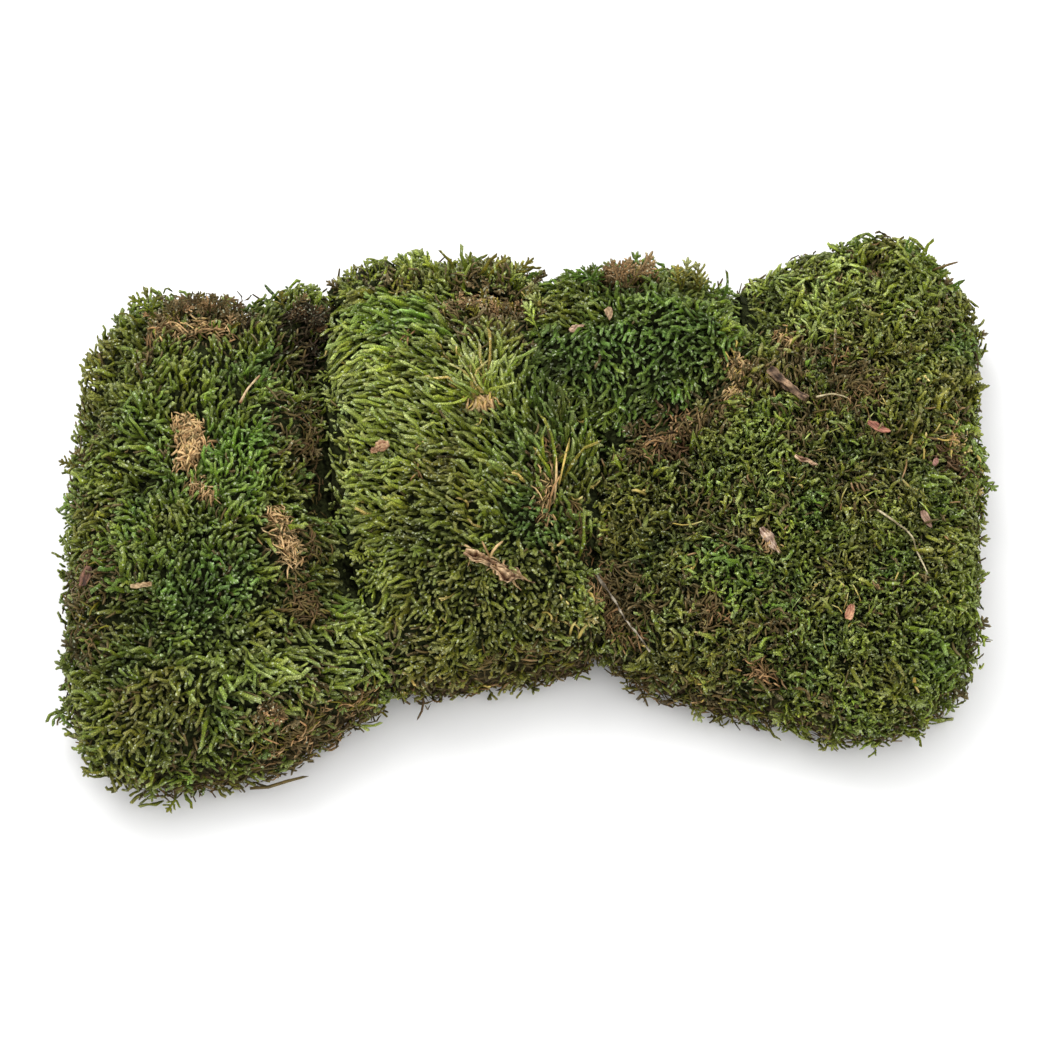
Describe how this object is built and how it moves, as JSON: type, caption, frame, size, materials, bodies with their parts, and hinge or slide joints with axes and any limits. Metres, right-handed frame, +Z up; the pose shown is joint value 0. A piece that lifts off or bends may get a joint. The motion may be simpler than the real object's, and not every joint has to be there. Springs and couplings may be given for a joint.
{
  "type": "moss clump",
  "caption": "Clump of peeled feather-moss sods pressed side by side, brown thatch showing at their edges, with dry litter caught on the shoots.",
  "frame": {"origin": "under the middle of the clump's box, on the surface that it stands on", "axes": "+X along the row of sods, to the right in the picture; +Y to the back; +Z up"},
  "size_m": [0.3622, 0.2408, 0.0558],
  "materials": {
    "moss_left": "soft, finely leafy",
    "moss_centre": "soft, combed",
    "moss_crest": "soft, dense",
    "moss_right": "soft, fine",
    "moss_back": "soft, rough",
    "bark": "rough bark",
    "dry_stalk": "dry, smooth",
    "dry_leaf": "dry, brittle",
    "bud_scale": "dry, papery",
    "wood_chip": "raw, dry"
  },
  "bodies": {
    "root": {"moss_sod_left": "moss_left", "moss_sod_centre": "moss_centre", "moss_sod_crest": "moss_crest", "moss_sod_right": "moss_right", "moss_tuft_back": "moss_back", "twig_bark": "bark", "stalk_long_grey": "dry_stalk", "stalk_pale_curved": "dry_stalk", "stalk_pale_short": "dry_stalk", "stalk_needle": "dry_stalk", "leaf_scrap_tan": "dry_leaf", "leaf_scrap_pink": "dry_leaf", "leaf_scrap_rust": "dry_leaf", "leaf_scrap_dry": "dry_leaf", "leaf_crumpled": "dry_leaf", "leaf_sliver_orange": "dry_leaf", "bud_scale_red": "bud_scale", "bud_scale_pink": "bud_scale", "bud_scale_orange": "bud_scale", "bud_scale_small": "bud_scale", "wood_chip_tan": "wood_chip", "bark_scrap_red": "bark"}
  },
  "joints": []
}
